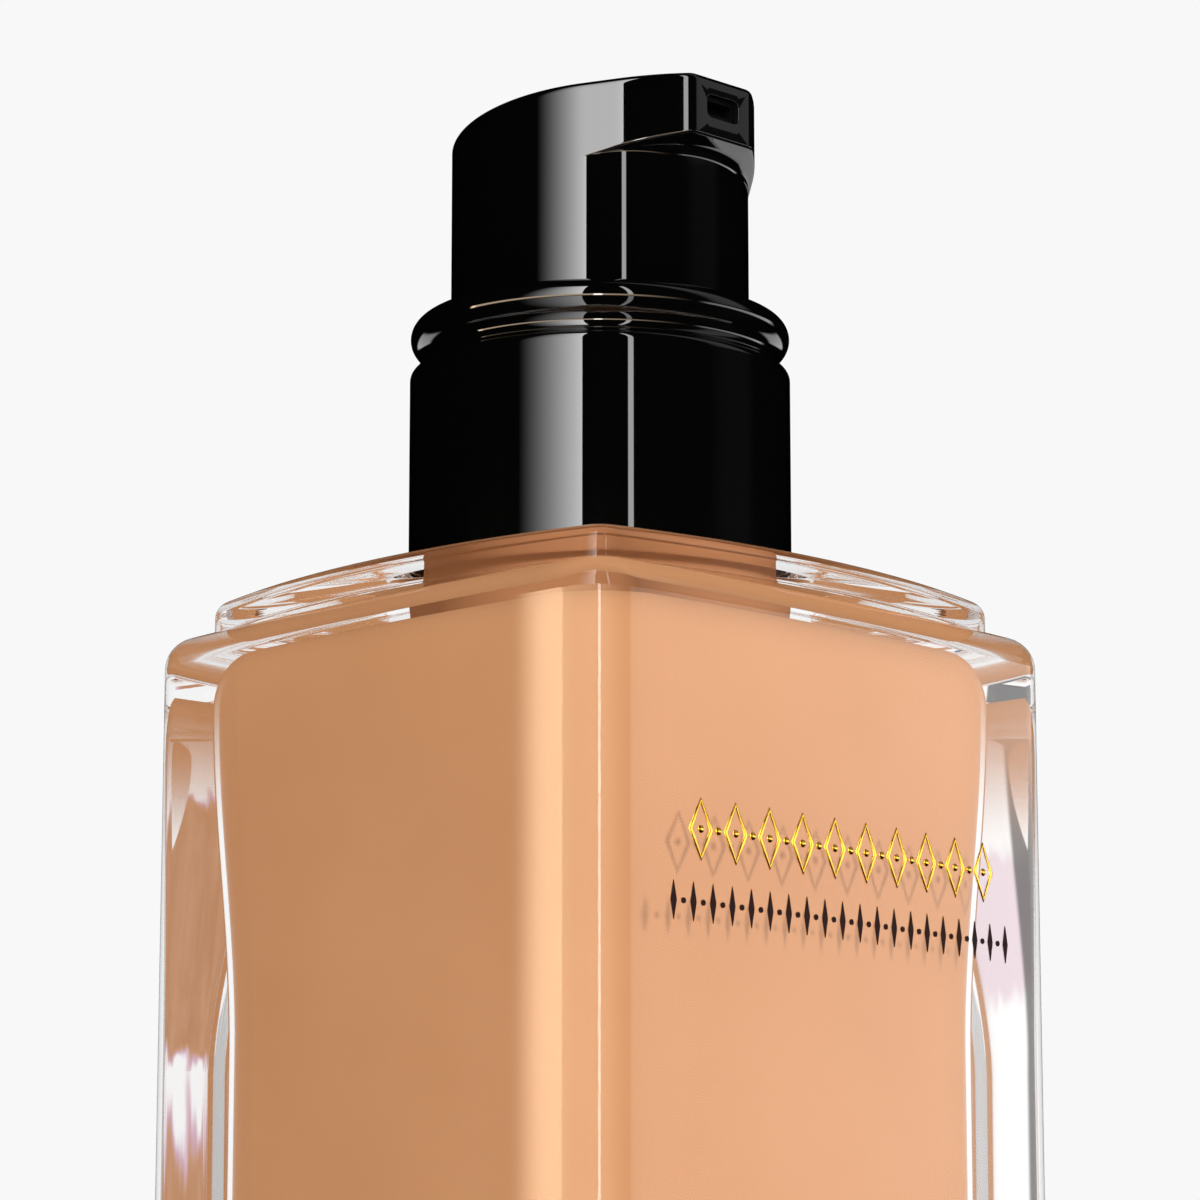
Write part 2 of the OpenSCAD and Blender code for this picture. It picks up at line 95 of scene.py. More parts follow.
def add(tree, kind, links=None, **settings):
    """Adds a node; links maps an input's name or index to a socket or value, settings are its own."""
    made = tree.nodes.new(kind)
    for name, value in settings.items():
        setattr(made, name, value)
    for key, value in (links or {}).items():
        socket = made.inputs[key]
        if isinstance(value, bpy.types.NodeSocket):
            tree.links.new(value, socket)
        else:
            socket.default_value = value
    return made


def compute(tree, operation, *values):
    """The result of one Math node on sockets or numbers."""
    return add(tree, "ShaderNodeMath", dict(enumerate(values)), operation=operation).outputs[0]


def fade(tree, value, start, end):
    """A smooth 0 to 1 as value goes from start to end."""
    made = add(
        tree,
        "ShaderNodeMapRange",
        {"Value": value, "From Min": start, "From Max": end},
        interpolation_type="SMOOTHSTEP",
    )
    return made.outputs[0]


BACKDROP = linear("#F8F8F8")
WHITE = (1, 1, 1, 1)
PER_RADIAN = 180 / math.pi
world = bpy.data.worlds.new("studio")
world.use_nodes = True
scene.world = world
room = world.node_tree
room.nodes.clear()
direction = add(room, "ShaderNodeTexCoord").outputs["Generated"]
ahead, aside = (
    add(room, "ShaderNodeVectorMath", {0: direction, 1: way}, operation="DOT_PRODUCT").outputs["Value"]
    for way in (towards_camera, to_the_right)
)
# degrees of turn from the camera, growing to its right, and of height above the level
turn = compute(room, "MULTIPLY", compute(room, "ARCTAN2", aside, ahead), PER_RADIAN)
upward = add(room, "ShaderNodeSeparateXYZ", {0: direction}).outputs["Z"]
height = compute(room, "MULTIPLY", compute(room, "ARCSINE", upward), PER_RADIAN)


def within(value, start, end, soft=1.0):
    """1 between start and end, fading to 0 over soft degrees outside them."""
    rising = fade(room, value, start - soft, start)
    return compute(room, "MULTIPLY", rising, fade(room, value, end + soft, end))


def times(*values):
    """The product of sockets and numbers."""
    result = values[0]
    for value in values[1:]:
        result = compute(room, "MULTIPLY", result, value)
    return result


# high lights, which only the black pump mirrors: a softbox on the left that brightens towards its near
# edge, a thin strip on its right and a dim card far to the right; they go on, dimmer, below the level
SOFTBOX_FAR, SOFTBOX_NEAR, SOFTBOX_POWER = -50, -10.5, 13.0
SOFTBOX_RAMP = 40    # degrees over which it reaches full power
STRIP_LEFT, STRIP_RIGHT, STRIP_POWER = 16.8, 19.8, 8.0
LIGHTS_BOTTOM, LIGHTS_TOP = -60, 56
CARD_LEFT, CARD_RIGHT, CARD_POWER = 80, 96, 0.7
UNDER_LEVEL_POWER = 0.4
high = fade(room, height, 11.6, 11.9)
under = compute(room, "MULTIPLY", fade(room, height, 1.5, -1), UNDER_LEVEL_POWER)
high_or_under = compute(room, "MAXIMUM", high, under)
ramp = compute(room, "MULTIPLY_ADD", turn, 1 / SOFTBOX_RAMP, -SOFTBOX_FAR / SOFTBOX_RAMP)
ramp = compute(room, "POWER", compute(room, "MAXIMUM", ramp, 0), 1.5)
upright = within(height, LIGHTS_BOTTOM, LIGHTS_TOP, 6)
softbox = times(ramp, compute(room, "LESS_THAN", turn, SOFTBOX_NEAR), upright, SOFTBOX_POWER)
strip = times(within(turn, STRIP_LEFT, STRIP_RIGHT, 0.2), upright, STRIP_POWER)
card_top = compute(room, "MULTIPLY_ADD", fade(room, height, 16.75, 16.95), 0.7, 0.05)
card = times(within(turn, CARD_LEFT, CARD_RIGHT, 12), card_top, CARD_POWER)
# low lights, which the upright glass and its print mirror: a strip beside the camera, a broad card on
# the right, and on the left a warm card with a brighter far edge
low_strip = times(within(turn, -3.2, 0.8, 1.2), 22.0)
broad_card = times(within(turn, 70, 120, 10), 2.8)
low = times(compute(room, "SUBTRACT", 1, high), fade(room, height, 2.4, 3.8))
low_white = times(compute(room, "ADD", low_strip, broad_card), low)
WARM_FAR, WARM_INSIDE = -84.2, -82.2    # the warm card's far edge and where it is fully lit
warm_edge = times(fade(room, turn, WARM_FAR, WARM_INSIDE), fade(room, turn, -79.4, -79.9), 9.0)
warm_card = times(fade(room, turn, WARM_FAR, WARM_INSIDE), fade(room, turn, 60, -10), 8.0)
low_warm = times(compute(room, "ADD", warm_edge, warm_card), low)
# white floor behind the bottle
beyond = fade(room, compute(room, "ABSOLUTE", turn), 132, 139)
behind = times(beyond, fade(room, height, -5, -9), 1.6)
mirrored = compute(room, "ADD", compute(room, "ADD", softbox, strip), card)
mirrored = compute(
    room, "MULTIPLY_ADD", mirrored, high_or_under, compute(room, "ADD", low_white, behind)
)


def dimmed(where, by):
    """1 outside a region, less by some part inside it."""
    return compute(room, "MULTIPLY_ADD", where, -by, 1)


# field seen through the clear glass: bright all round, dimmer overhead and in front, dark on the far
# left, which the right-hand edge bends into view
overhead = dimmed(fade(room, height, 38, 50), 0.6)
right_edge = dimmed(within(turn, -104, -86.8, 0.8), 0.85)
front = dimmed(within(turn, -60, 60, 10), 0.45)
field = times(overhead, right_edge, front, 0.97)
# a low warm card on either side, cloudy at its top, gives the thick walls their tan and mauve patches
cloud = add(room, "ShaderNodeTexNoise", {"Vector": direction, "Scale": 30, "Detail": 2}).outputs[0]
rise = compute(room, "ADD", height, compute(room, "MULTIPLY_ADD", cloud, 3, -1.5))
patchy = compute(room, "MULTIPLY_ADD", cloud, 0.8, 0.5)
warm_right = times(within(turn, 66, 95, 3), within(rise, -6, 4.2, 1.2), patchy)
warm_left = times(within(turn, -95, -66, 3), within(rise, -6, 1.6, 1.2), 0.2)
field_ramp = add(room, "ShaderNodeValToRGB", {0: compute(room, "MAXIMUM", warm_right, warm_left)})
field_ramp.color_ramp.elements[0].color = WHITE
field_ramp.color_ramp.elements[1].color = linear("#C08C68")
field_ramp.color_ramp.elements.new(0.35).color = linear("#D9B4C4")
field_ramp.color_ramp.elements.new(0.7).color = linear("#CC9C7C")


def glow(colour, strength):
    """The light of a Background node."""
    return add(room, "ShaderNodeBackground", {"Color": colour, "Strength": strength}).outputs[0]


# each kind of ray meets its own light, and soft light is left for the matt surfaces
SOFT_LIGHT = 0.86
ray = add(room, "ShaderNodeLightPath")
mixed = glow(WHITE, SOFT_LIGHT)
seen = glow(BACKDROP, 1)
tent = [glow(WHITE, mirrored), glow(linear("#FFE1BD"), low_warm)]
gloss = add(room, "ShaderNodeAddShader", dict(enumerate(tent))).outputs[0]
through = glow(field_ramp.outputs[0], field)
for kind, light in (("Glossy", gloss), ("Transmission", through), ("Camera", seen)):
    which = ray.outputs["Is %s Ray" % kind]
    mixed = add(room, "ShaderNodeMixShader", {0: which, 1: mixed, 2: light}).outputs[0]
add(room, "ShaderNodeOutputWorld", {"Surface": mixed})


def lamp(name, turn_deg, height_deg, away, size, power):
    """A small square lamp aimed at the bottle, which only lights matt surfaces and casts shadows."""
    data = bpy.data.lights.new(name, "AREA")
    data.size = size
    data.energy = power
    made = bpy.data.objects.new(name, data)
    scene.collection.objects.link(made)
    t, h = math.radians(turn_deg), math.radians(height_deg)
    level_way = towards_camera * math.cos(t) + to_the_right * math.sin(t)
    way = level_way * math.cos(h) + Vector((0, 0, math.sin(h)))
    aim = Vector((0, 0, pad_z * 0.6))
    made.location = aim + way * away
    made.rotation_euler = (-way).to_track_quat("-Z", "Y").to_euler()
    made.visible_camera = False
    made.visible_glossy = False
    made.visible_transmission = False


lamp("key", turn_deg=35.5, height_deg=6, away=0.9, size=0.045, power=3.2)

FLOOR_R = 1.6
SWEEP_START, SWEEP_END = 0.1, 0.55    # metres from the bottle
floor_mesh = bpy.data.meshes.new("floor")
floor_maker = bmesh.new()
bmesh.ops.create_circle(floor_maker, cap_ends=True, segments=96, radius=FLOOR_R)
floor_maker.to_mesh(floor_mesh)
floor_maker.free()
floor = bpy.data.objects.new("floor", floor_mesh)
scene.collection.objects.link(floor)
floor.visible_glossy = False


def material(name):
    """A new node material: its tree, and its Principled shader already joined to the output."""
    made = bpy.data.materials.new(name)
    made.use_nodes = True
    tree = made.node_tree
    tree.nodes.clear()
    out = add(tree, "ShaderNodeOutputMaterial")
    shader = add(tree, "ShaderNodeBsdfPrincipled")
    tree.links.new(shader.outputs[0], out.inputs["Surface"])
    return made, tree, shader, out


floor_paper, floor_tree, shader, floor_out = material("matt_paper_floor")
shader.inputs["Base Color"].default_value = linear("#F4F4F4")
shader.inputs["Roughness"].default_value = 0.9
# the paper turns into the backdrop's own shade away from the bottle, so no edge shows
place = add(floor_tree, "ShaderNodeTexCoord").outputs["Object"]
away = add(floor_tree, "ShaderNodeVectorMath", {0: place}, operation="LENGTH").outputs["Value"]
paper_glow = add(floor_tree, "ShaderNodeEmission", {"Color": BACKDROP, "Strength": 1}).outputs[0]
swept = fade(floor_tree, away, SWEEP_START, SWEEP_END)
sweep = add(floor_tree, "ShaderNodeMixShader", {0: swept, 1: shader.outputs[0], 2: paper_glow})
floor_tree.links.new(sweep.outputs[0], floor_out.inputs["Surface"])
floor_mesh.materials.append(floor_paper)


# ---- Glass bottle ----
# Heavy pressed soda-lime glass, fire polished: square with convex sides and round corners, a ledge, a
# raised pad and the neck that the pump snaps over.
BODY_SIDE_R = 200 * MM
BODY_CORNER_R = 3 * MM
PAD_SIDE_R = 55 * MM
PAD_CORNER_R = 2 * MM
PAD_W = 36.6 * MM
PAD_H = 2.2 * MM
PAD_EDGE_R = 1 * MM
PAD_ROOT_R = 0.3 * MM
SHOULDER_R = 1.8 * MM
FOOT_R = 1.4 * MM
BASE_T = 12 * MM
CAVITY_W = 29.4 * MM
CAVITY_TOP_W = 31.9 * MM
CAVITY_SIDE_R = 150 * MM
CAVITY_CORNER_R = 4.2 * MM
CAVITY_FOOT_R = 3.6 * MM
CAVITY_ROOF_R = 3 * MM
ROOF_T = 3.4 * MM
NECK_BORE_R = 5.3 * MM
NECK_R = 7.2 * MM
NECK_BEAD_R = 7.9 * MM
PUNT_R = 12.5 * MM
PUNT_H = 0.6 * MM
PUNT_EDGE = 0.4 * MM
NECK_ROOT_R = 0.3 * MM
NECK_LIP_R = 0.3 * MM
BEAD_START = 4.2 * MM    # heights on the neck above the pad
BEAD_LOW = 4.8 * MM
BEAD_HIGH = 5.8 * MM
FLARE_H = 26 * MM        # the cavity widens over this height, up to its roof
FLARE_STEPS = 24
SIDE_STEPS = 28
CORNER_STEPS = 14
EDGE_STEPS = 10
ROOT_STEPS = 4
HOLD = 0.06 * MM         # how far a support ring stands from the end of a stretch
HOLD_OVER = 1.5 * MM     # shorter stretches need none

glass_low, glass_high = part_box("glass_bottle")
body_w = glass_high.x - glass_low.x
neck_z = glass_high.z
ledge_z = pad_z - PAD_H
cavity_top_z = pad_z - ROOF_T


def square_outline(width, side_r, corner_r):
    """Points of a square with convex sides and round corners, anticlockwise from the +X side."""
    back = side_r - width / 2
    k = (math.sqrt(2 * (side_r - corner_r) ** 2 - back**2) - back) / 2
    half = math.atan2(k, k + back)
    points = []
    for i in range(SIDE_STEPS + 1):
        a = -half * math.cos(math.pi * i / SIDE_STEPS)    # closest together at the corners
        points.append((side_r * math.cos(a) - back, side_r * math.sin(a)))
    for i in range(1, CORNER_STEPS):
        a = half + (math.pi / 2 - 2 * half) * i / CORNER_STEPS
        points.append((k + corner_r * math.cos(a), k + corner_r * math.sin(a)))
    turns = [(1, 0), (0, 1), (-1, 0), (0, -1)]
    return [(x * c - y * s, x * s + y * c) for c, s in turns for x, y in points]


RING_ANGLES = [math.atan2(y, x) for x, y in square_outline(body_w, BODY_SIDE_R, BODY_CORNER_R)]


def square_level(z, width, side_r, corner_r, drawn_in=0):
    """One ring of the loft, drawn in by a distance on every side."""
    outline = square_outline(width - 2 * drawn_in, side_r - drawn_in, corner_r - drawn_in)
    return [(x, y, z) for x, y in outline]


def round_level(z, radius):
    """One round ring of the loft, with a point for each point of the square ones."""
    return [(radius * math.cos(a), radius * math.sin(a), z) for a in RING_ANGLES]


def quarter_turn(steps):
    """Angles from nothing to a right angle."""
    return [math.pi / 2 * i / steps for i in range(steps + 1)]


def closing_edge(top, outline, r, grow=0):
    """Rings of a rounding that draws in towards its top, grown outwards by a distance."""
    return [
        square_level(top - r + (r + grow) * math.sin(a), *outline, r - (r + grow) * math.cos(a))
        for a in quarter_turn(EDGE_STEPS)
    ]


def opening_edge(bottom, outline, r, grow=0):
    """Rings of a rounding that spreads out from its bottom, grown outwards by a distance."""
    return [
        square_level(bottom + r - (r + grow) * math.cos(a), *outline, r - (r + grow) * math.sin(a))
        for a in quarter_turn(EDGE_STEPS)
    ]


def held(rings):
    """The rings with one more near both ends of each long stretch, which keeps its shading straight."""
    result = [rings[0]]
    for low, high in zip(rings, rings[1:]):
        span = (Vector(high[0]) - Vector(low[0])).length
        if span > HOLD_OVER:
            for t in (HOLD / span, 1 - HOLD / span):
                result.append([Vector(p).lerp(Vector(q), t) for p, q in zip(low, high)])
        result.append(high)
    return result


def loft(name, rings):
    """A closed skin through the rings, capped at its first and last one."""
    maker = bmesh.new()
    rows = [[maker.verts.new(p) for p in ring] for ring in held(rings)]
    count = len(rows[0])
    for low, high in zip(rows, rows[1:]):
        for i in range(count):
            j = (i + 1) % count
            maker.faces.new((low[i], low[j], high[j], high[i]))
    for row, z in ((rows[0], rings[0][0][2]), (rows[-1], rings[-1][0][2])):
        pole = maker.verts.new((0, 0, z))
        for i in range(count):
            maker.faces.new((row[i], row[(i + 1) % count], pole))
    bmesh.ops.recalc_face_normals(maker, faces=maker.faces)
    for face in maker.faces:
        face.smooth = True
    mesh = bpy.data.meshes.new(name)
    maker.to_mesh(mesh)
    maker.free()
    made = bpy.data.objects.new(name, mesh)
    scene.collection.objects.link(made)
    return made


def cavity_rings(grow=0):
    """Rings of the cavity from its floor to its roof, grown outwards by a distance."""
    narrow = (CAVITY_W, CAVITY_SIDE_R, CAVITY_CORNER_R)
    wide = (CAVITY_TOP_W, CAVITY_SIDE_R, CAVITY_CORNER_R)
    flare_low, flare_high = pad_z - FLARE_H, cavity_top_z - CAVITY_ROOF_R
    rings = opening_edge(BASE_T, narrow, CAVITY_FOOT_R, grow)
    for i in range(FLARE_STEPS):
        t = i / FLARE_STEPS
        width = CAVITY_W + (CAVITY_TOP_W - CAVITY_W) * t * t * (3 - 2 * t)
        z = flare_low + (flare_high - flare_low) * t
        rings.append(square_level(z, width, CAVITY_SIDE_R, CAVITY_CORNER_R, -grow))
    return rings + closing_edge(cavity_top_z, wide, CAVITY_ROOF_R, grow)


body_outline = (body_w, BODY_SIDE_R, BODY_CORNER_R)
pad_outline = (PAD_W, PAD_SIDE_R, PAD_CORNER_R)
glass_rings = [round_level(PUNT_H, PUNT_R - PUNT_EDGE), round_level(PUNT_H, PUNT_R)]
glass_rings.append(round_level(0, PUNT_R))
glass_rings += opening_edge(0, body_outline, FOOT_R)
glass_rings += closing_edge(ledge_z, body_outline, SHOULDER_R)
for a in quarter_turn(ROOT_STEPS):
    up, out_by = PAD_ROOT_R * (1 - math.cos(a)), PAD_ROOT_R * (1 - math.sin(a))
    glass_rings.append(square_level(ledge_z + up, *pad_outline, -out_by))
glass_rings += closing_edge(pad_z, pad_outline, PAD_EDGE_R)
glass_rings += [
    round_level(pad_z, NECK_R + NECK_ROOT_R),
    round_level(pad_z + NECK_ROOT_R, NECK_R),
    round_level(pad_z + BEAD_START, NECK_R),
    round_level(pad_z + BEAD_LOW, NECK_BEAD_R),
    round_level(pad_z + BEAD_HIGH, NECK_BEAD_R),
    round_level(neck_z - NECK_LIP_R, NECK_R + NECK_LIP_R),
    round_level(neck_z, NECK_R),
    round_level(neck_z, NECK_BORE_R),
    round_level(cavity_top_z, NECK_BORE_R),
]
glass_rings += cavity_rings()[::-1]
bottle = loft("thick_glass_bottle", glass_rings)

# fire-polished flint glass: colourless and without haze, its mirroring held back to a thin sheen
GLASS_IOR = 1.52
clear_glass, tree, shader, out = material("pressed_soda_lime_glass")
shader.inputs["Base Color"].default_value = WHITE
shader.inputs["Roughness"].default_value = 0
shader.inputs["IOR"].default_value = GLASS_IOR
shader.inputs["Transmission Weight"].default_value = 1
shader.inputs["Specular Tint"].default_value = (0.35, 0.35, 0.35, 1)
# lamps and soft light reach the product through the glass without noise
ray = add(tree, "ShaderNodeLightPath").outputs
open_way = add(tree, "ShaderNodeBsdfTransparent", {"Color": WHITE})
lets_by = compute(tree, "MAXIMUM", ray["Is Shadow Ray"], ray["Is Diffuse Ray"])
both = add(tree, "ShaderNodeMixShader", {0: lets_by, 1: shader.outputs[0], 2: open_way.outputs[0]})
tree.links.new(both.outputs[0], out.inputs["Surface"])
bottle.data.materials.append(clear_glass)
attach(bottle, "bottle")
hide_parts("glass_bottle")


# ---- Foundation ----
# Opaque beige emulsion that wets the glass all round, up to the roof of the cavity. It is grown a hair
# into the glass, so that no air shows between the two.
WETTED = 0.03 * MM
HOUSING_T = 0.85 * MM        # wall of the pump housing round the spring's seat
PART_GAP = 0.08 * MM         # left round the pump's parts, so that no faces coincide
END_GAP = 0.1 * MM
housing_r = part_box("spring_seat")[1].x + HOUSING_T + PART_GAP
housing_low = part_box("pump_housing")[0].z
tube_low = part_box("dip_tube")[0].z
tube_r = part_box("dip_tube")[1].x
fill_rings = cavity_rings(WETTED)
roof_z = fill_rings[-1][0][2]
fill_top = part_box("foundation_fill")[1].z
fill_rings += [
    round_level(roof_z, NECK_BORE_R + WETTED),
    round_level(fill_top, NECK_BORE_R + WETTED),
    round_level(fill_top, housing_r),
    round_level(housing_low - END_GAP, housing_r),
    round_level(housing_low - END_GAP, tube_r + PART_GAP),
    round_level(tube_low - END_GAP, tube_r + PART_GAP),
]
fill = loft("foundation", fill_rings)

# pigmented emulsion: a fully opaque beige, faintly clouded where it has settled on the glass
PRODUCT_IOR = 1.36
DULL_FROM, GLOSSY_FROM = 0.5 * MM, 11 * MM    # depths below the roof
emulsion, tree, shader, out = material("beige_foundation_emulsion")
shader.inputs["Roughness"].default_value = 1
shader.inputs["Specular IOR Level"].default_value = 0
# the product films over the roof and the neck unevenly, so only the walls mirror
place = add(tree, "ShaderNodeTexCoord").outputs["Object"]
up = add(tree, "ShaderNodeSeparateXYZ", {0: place}).outputs["Z"]
clouds = add(tree, "ShaderNodeTexNoise", {"Vector": place, "Scale": 90, "Detail": 2})
tint = add(
    tree,
    "ShaderNodeMix",
    {0: clouds.outputs[0], 6: linear("#C88D61"), 7: linear("#D2976B")},
    data_type="RGBA",
)
tree.links.new(tint.outputs[2], shader.inputs["Base Color"])
edge_gloss = add(tree, "ShaderNodeFresnel", {"IOR": PRODUCT_IOR / GLASS_IOR}).outputs[0]
walls_only = fade(tree, up, roof_z - DULL_FROM, roof_z - GLOSSY_FROM)
edge_gloss = compute(tree, "MULTIPLY", edge_gloss, walls_only)
wet_film = add(tree, "ShaderNodeBsdfGlossy", {"Color": WHITE, "Roughness": 0.02})
wet = add(tree, "ShaderNodeMixShader", {0: edge_gloss, 1: shader.outputs[0], 2: wet_film.outputs[0]})
tree.links.new(wet.outputs[0], out.inputs["Surface"])
fill.data.materials.append(emulsion)
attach(fill, "bottle")
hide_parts("foundation_fill")


# ---- Collar ----
# Straight sleeve that hides the snap ring, with a groove and a round bead at its mouth. Injection
# moulded ABS polished to a piano finish; it is pressed over the snap ring.
COLLAR_R = 11.1 * MM
GROOVE_R = 10.43 * MM
BEAD_R = 11.07 * MM
WALL_ROUND_R = 0.55 * MM
GROOVE_ROUND_R = 0.75 * MM
BEAD_ROUND_R = 1.1 * MM
MOUTH_ROUND_R = 0.3 * MM
MOUTH_R = 8.91 * MM
RIM_T = 1.5 * MM
BARREL_BORE_R = 9.4 * MM
SEAT_R = 10 * MM
LOWER_ROUND_R = 0.15 * MM
GROOVE_UP = 14.15 * MM    # above the glass pad
FERRULE_GAP = 0.05 * MM
TURN_STEPS = 192


def arc(cx, cy, r, start, end, steps):
    """Points of an arc, from one angle in degrees to another."""
    turns = [math.radians(start + (end - start) * i / steps) for i in range(steps + 1)]
    return [(cx + r * math.cos(a), cy + r * math.sin(a)) for a in turns]


def turned(name, outline, smooth_under=35):
    """A ring turned from a closed outline of radius and height."""
    maker = bmesh.new()
    around = [2 * math.pi * i / TURN_STEPS for i in range(TURN_STEPS)]
    rings = [[(r * math.cos(a), r * math.sin(a), z) for a in around] for r, z in outline]
    rows = [[maker.verts.new(p) for p in ring] for ring in held(rings + rings[:1])[:-1]]
    for low, high in zip(rows, rows[1:] + rows[:1]):
        for i in range(TURN_STEPS):
            j = (i + 1) % TURN_STEPS
            maker.faces.new((low[i], low[j], high[j], high[i]))
    return finished(name, maker, smooth_under)


def finished(name, maker, smooth_under):
    """The maker's skin as an object, smooth except over edges sharper than an angle in degrees."""
    bmesh.ops.remove_doubles(maker, verts=maker.verts, dist=0.0005 * MM)
    bmesh.ops.recalc_face_normals(maker, faces=maker.faces)
    for face in maker.faces:
        face.smooth = True
    mesh = bpy.data.meshes.new(name)
    maker.to_mesh(mesh)
    maker.free()
    mesh.set_sharp_from_angle(angle=math.radians(smooth_under))
    made = bpy.data.objects.new(name, mesh)
    scene.collection.objects.link(made)
    return made


collar_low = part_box("collar_shroud")[0].z
ferrule_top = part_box("snap_ferrule")[1].z
groove_z = pad_z + GROOVE_UP
bead_cx = BEAD_R - BEAD_ROUND_R
groove_cx = GROOVE_R + GROOVE_ROUND_R
wall_cx = COLLAR_R - WALL_ROUND_R
# each pair of arcs touches, so their centres stand apart by the sum of their radii
wall_cz = groove_z - math.sqrt((GROOVE_ROUND_R + WALL_ROUND_R) ** 2 - (groove_cx - wall_cx) ** 2)
bead_cz = groove_z + math.sqrt((GROOVE_ROUND_R + BEAD_ROUND_R) ** 2 - (groove_cx - bead_cx) ** 2)
low_turn = math.degrees(math.atan2(groove_z - wall_cz, groove_cx - wall_cx))
high_turn = math.degrees(math.atan2(bead_cz - groove_z, groove_cx - bead_cx))
collar_top = bead_cz + BEAD_ROUND_R
lower_cx = COLLAR_R - LOWER_ROUND_R
collar_outline = [(SEAT_R, collar_low), (lower_cx, collar_low)]
collar_outline += arc(lower_cx, collar_low + LOWER_ROUND_R, LOWER_ROUND_R, -90, 0, 5)
collar_outline += arc(wall_cx, wall_cz, WALL_ROUND_R, 0, low_turn, 14)
collar_outline += arc(groove_cx, groove_z, GROOVE_ROUND_R, 180 + low_turn, 180 - high_turn, 20)
collar_outline += arc(bead_cx, bead_cz, BEAD_ROUND_R, -high_turn, 90, 36)
mouth_cx, mouth_cz = MOUTH_R + MOUTH_ROUND_R, collar_top - MOUTH_ROUND_R
collar_outline += arc(mouth_cx, mouth_cz, MOUTH_ROUND_R, 90, 180, 8)
collar_outline += [
    (MOUTH_R, collar_top - RIM_T),
    (BARREL_BORE_R, collar_top - RIM_T),
    (BARREL_BORE_R, ferrule_top + FERRULE_GAP),
    (SEAT_R, ferrule_top + FERRULE_GAP),
]
collar = turned("collar_sleeve", collar_outline)

# deep black that shows only what it mirrors, as sharp as the polished mould left it
JET = (0.0012, 0.0012, 0.0012, 1)
piano_black, tree, shader, _ = material("polished_black_abs")
shader.inputs["Base Color"].default_value = JET
shader.inputs["IOR"].default_value = 1.5
# faint haze left by handling, in cloudy patches a few millimetres wide
place = add(tree, "ShaderNodeTexCoord").outputs["Object"]
haze = add(tree, "ShaderNodeTexNoise", {"Vector": place, "Scale": 260, "Detail": 3})
haze_range = add(
    tree, "ShaderNodeMapRange", {"Value": haze.outputs[0], "To Min": 0.012, "To Max": 0.035}
)
tree.links.new(haze_range.outputs[0], shader.inputs["Roughness"])
collar.data.materials.append(piano_black)
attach(collar, "bottle")
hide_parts("collar_shroud")


# ---- Button shell ----
# Barrel and head in one moulding of the same polished ABS: the head is drawn in from the barrel's
# circle to a narrow upright face, and its top rises towards that face. The slot is moulded through.
BUTTON_R = 8.73 * MM
BARREL_INNER_R = 7.5 * MM
SPOUT_TURN = math.radians(52)
SPOUT_FLAT = 2 * MM
SPOUT_SIDE_R = 15 * MM
SIDE_END = math.radians(36.2)
SPOUT_CORNER_R = 1.1 * MM
BUTTON_TOP = 28.1 * MM
TOP_RISE = math.tan(math.radians(7.2))
UNDER_RISE = math.tan(math.radians(17.3))
SPOUT_UNDER = 24.25 * MM
TOP_EDGE_R = 0.45 * MM
LOWER_EDGE_R = 0.12 * MM
UNDER_ROOT_R = 0.5 * MM
CEILING_T = 0.7 * MM
SLOT_W = 2.6 * MM
SLOT_H = 1.35 * MM
SLOT_ROUND_R = 0.38 * MM
SLOT_RIM_R = 0.04 * MM
SLOT_DEPTH = 1.3 * MM
SLOT_UP = 27.55 * MM
MOUTH_EDGE = 0.2 * MM        # small bevel at the barrel's open end
FACE_STEPS, SPOUT_CORNER_STEPS, SPOUT_SIDE_STEPS, FLAT_STEPS, BACK_STEPS = 3, 14, 24, 8, 72
ROUND_STEPS = 6
TOP_EDGE_STEPS = 10


def facing(a, length=1):
    """A level vector of some length at angle a from the nozzle's direction."""
    return Vector((math.sin(a), -math.cos(a), 0)) * length


def other_side(v):
    """A vector mirrored to the button's other half."""
    return Vector((-v.x, v.y, v.z))


leave = facing(SPOUT_TURN, BUTTON_R)
flat_end = leave + facing(SPOUT_TURN - math.pi / 2, SPOUT_FLAT)
side_centre = flat_end - facing(SPOUT_TURN, SPOUT_SIDE_R)
face_corner = side_centre + facing(SIDE_END, SPOUT_SIDE_R - SPOUT_CORNER_R)
spout_reach = SPOUT_CORNER_R - face_corner.y

# one half of the head's outline, from the middle of the nozzle's face round to the back
half_head = []
for i in range(FACE_STEPS):
    half_head.append((Vector((face_corner.x * i / FACE_STEPS, -spout_reach, 0)), 0))
for i in range(SPOUT_CORNER_STEPS + 1):
    a = SIDE_END * i / SPOUT_CORNER_STEPS
    half_head.append((face_corner + facing(a, SPOUT_CORNER_R), a))
for i in range(1, SPOUT_SIDE_STEPS + 1):
    a = SIDE_END + (SPOUT_TURN - SIDE_END) * i / SPOUT_SIDE_STEPS
    half_head.append((side_centre + facing(a, SPOUT_SIDE_R), a))
for i in range(1, FLAT_STEPS + 1):
    half_head.append((flat_end.lerp(leave, i / FLAT_STEPS), SPOUT_TURN))
spout_count = len(half_head)
for i in range(1, BACK_STEPS + 1):
    a = SPOUT_TURN + (math.pi - SPOUT_TURN) * i / BACK_STEPS
    half_head.append((facing(a, BUTTON_R), a))

# columns of the shell: the barrel's point, the head's point above it and the way the head faces there;
# the spout's stretch of the barrel is shared out by distance walked along the head
walked = [0]
for (p, _), (q, _) in zip(half_head, half_head[1:spout_count]):
    walked.append(walked[-1] + (q - p).length)
columns = []
for i, (point, a) in enumerate(half_head):
    around = SPOUT_TURN * walked[i] / walked[-1] if i < spout_count else a
    columns.append((facing(around, BUTTON_R), point, facing(a)))
columns += [tuple(other_side(v) for v in column) for column in columns[-2:0:-1]]


